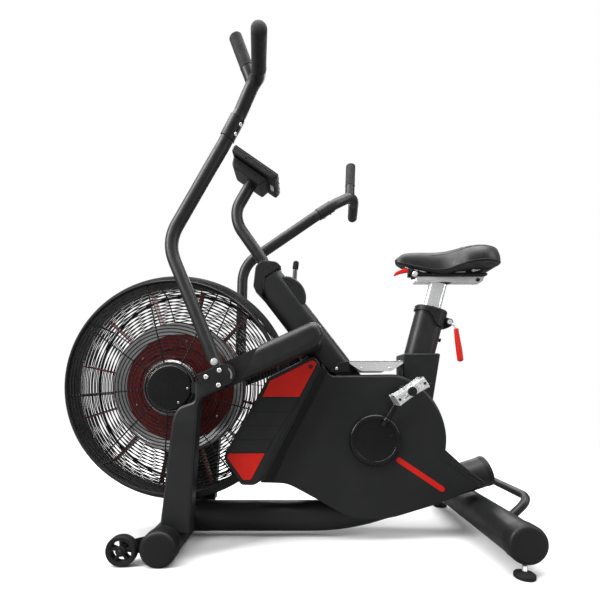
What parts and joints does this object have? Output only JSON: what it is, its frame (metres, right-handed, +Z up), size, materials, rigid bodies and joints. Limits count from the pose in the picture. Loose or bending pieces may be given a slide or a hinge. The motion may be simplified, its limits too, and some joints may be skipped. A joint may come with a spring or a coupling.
{
  "type": "air bike",
  "caption": "Upright fan-resistance exercise bike with a caged bladed fan, swinging arm levers, cranks and pedals, sliding saddle, console and floor stabilisers.",
  "frame": {"origin": "on the floor, under the middle of the overall length and on the centre plane", "axes": "+Z up, the rider faces -X (the fan end), +Y is the rider's right"},
  "size_m": [1.4147, 0.7742, 1.4416],
  "materials": {
    "coat": "satin charcoal-black powder coat, fine texture",
    "plastic": "fine moulded grain, satin",
    "shell": "satin dark grey moulded cover with bright red inserts",
    "rubber": "matt black rubber",
    "grip": "soft foam-like grip, fine pores",
    "saddle_skin": "black synthetic leather, soft sheen, stitched seam",
    "red": "bright red, semi-gloss",
    "maroon": "deep red paint on the fan, satin",
    "polished": "polished and lightly brushed bright metal",
    "wire": "black coated wire, semi-gloss",
    "screen": "dark glossy display window"
  },
  "bodies": {
    "frame": {"main_frame": "coat", "left_fork": "coat", "right_fork": "coat", "left_pivot_cover": "plastic", "right_pivot_cover": "plastic", "front_stabiliser": "coat", "left_front_end_cap": "plastic", "right_front_end_cap": "plastic", "rear_stabiliser": "coat", "left_rear_end_cap": "plastic", "right_rear_end_cap": "plastic", "pull_handle": "coat", "frame_end_cap": "plastic", "left_shroud": "shell", "right_shroud": "shell", "left_vent_panel": "shell", "right_vent_panel": "shell", "step_plate": "polished", "seat_tube_sleeve": "plastic", "post_collar": "plastic", "console_mast": "coat", "console_case": "plastic", "console_screen": "screen", "brake_housing": "plastic", "cage_rim": "coat", "left_guard": "wire", "right_guard": "wire", "left_hub_cap": "plastic", "right_hub_cap": "plastic", "fan_axle": "polished", "drive_belt": "rubber", "seat_clamp": "plastic"},
    "crank": {"crank_axle": "polished", "crank_pulley": "plastic", "left_crank": "coat", "right_crank": "coat"},
    "left_pedal": {"left_pedal": "polished"},
    "right_pedal": {"right_pedal": "polished"},
    "fan": {"fan_wheel": "maroon", "fan_pulley": "polished"},
    "left_arm": {"left_arm": "coat", "left_arm_collar": "coat", "left_handlebar": "coat", "left_outer_grip": "grip", "left_upper_grip": "grip"},
    "right_arm": {"right_arm": "coat", "right_arm_collar": "coat", "right_handlebar": "coat", "right_outer_grip": "grip", "right_upper_grip": "grip"},
    "brake": {"brake_lever": "plastic"},
    "seat_post": {"seat_post": "polished"},
    "seat": {"seat_carriage": "plastic", "saddle": "saddle_skin"},
    "clamp_lever": {"clamp_lever": "red"},
    "slider_lever": {"slider_lever": "red"},
    "left_wheel": {"left_transport_wheel": "rubber"},
    "right_wheel": {"right_transport_wheel": "rubber"},
    "left_foot": {"left_levelling_foot": "rubber"},
    "right_foot": {"right_levelling_foot": "rubber"}
  },
  "joints": [
    {"name": "crank_spin", "type": "hinge", "parent": "frame", "child": "crank", "pos_m": [0.2655, 0, 0.316], "axis": [0, 1, 0], "continuous": true},
    {"name": "left_pedal_spin", "type": "hinge", "parent": "crank", "child": "left_pedal", "pos_m": [0.34162, -0.174, 0.46801], "axis": [0, 1, 0], "continuous": true},
    {"name": "right_pedal_spin", "type": "hinge", "parent": "crank", "child": "right_pedal", "pos_m": [0.18938, 0.174, 0.16399], "axis": [0, 1, 0], "continuous": true},
    {"name": "fan_spin", "type": "hinge", "parent": "frame", "child": "fan", "pos_m": [-0.3505, 0, 0.478], "axis": [0, 1, 0], "continuous": true},
    {"name": "left_arm_swing", "type": "hinge", "parent": "frame", "child": "left_arm", "pos_m": [-0.1893, -0.177, 0.5092], "axis": [0, 1, 0], "range_deg": [0, 24.1]},
    {"name": "right_arm_swing", "type": "hinge", "parent": "frame", "child": "right_arm", "pos_m": [-0.1893, 0.177, 0.5092], "axis": [0, 1, 0], "range_deg": [-24.1, 0]},
    {"name": "brake_tilt", "type": "hinge", "parent": "frame", "child": "brake", "pos_m": [0.0145, 0, 0.811], "axis": [0, 1, 0], "range_deg": [-10, 18]},
    {"name": "seat_height", "type": "slide", "parent": "frame", "child": "seat_post", "axis": [0.253, 0, 0.9675], "range_m": [-0.06, 0.1]},
    {"name": "seat_fore_aft", "type": "slide", "parent": "seat_post", "child": "seat", "axis": [1, 0, 0], "range_m": [-0.04, 0.04]},
    {"name": "clamp_lever_turn", "type": "hinge", "parent": "frame", "child": "clamp_lever", "pos_m": [0.5155, 0, 0.689], "axis": [0, 1, 0], "range_deg": [-80, 0]},
    {"name": "slider_lever_turn", "type": "hinge", "parent": "seat", "child": "slider_lever", "pos_m": [0.3945, 0, 0.854], "axis": [0, 1, 0], "range_deg": [-25, 0]},
    {"name": "left_wheel_spin", "type": "hinge", "parent": "frame", "child": "left_wheel", "pos_m": [-0.4445, -0.235, 0.042], "axis": [0, 1, 0], "continuous": true},
    {"name": "right_wheel_spin", "type": "hinge", "parent": "frame", "child": "right_wheel", "pos_m": [-0.4445, 0.235, 0.042], "axis": [0, 1, 0], "continuous": true},
    {"name": "left_foot_height", "type": "slide", "parent": "frame", "child": "left_foot", "axis": [0, 0, 1], "range_m": [-0.012, 0]},
    {"name": "right_foot_height", "type": "slide", "parent": "frame", "child": "right_foot", "axis": [0, 0, 1], "range_m": [-0.012, 0]}
  ],
  "couplings": [
    {"joint": "fan_spin", "follows": "crank_spin", "ratio": 5},
    {"joint": "right_arm_swing", "follows": "left_arm_swing", "ratio": -1}
  ]
}
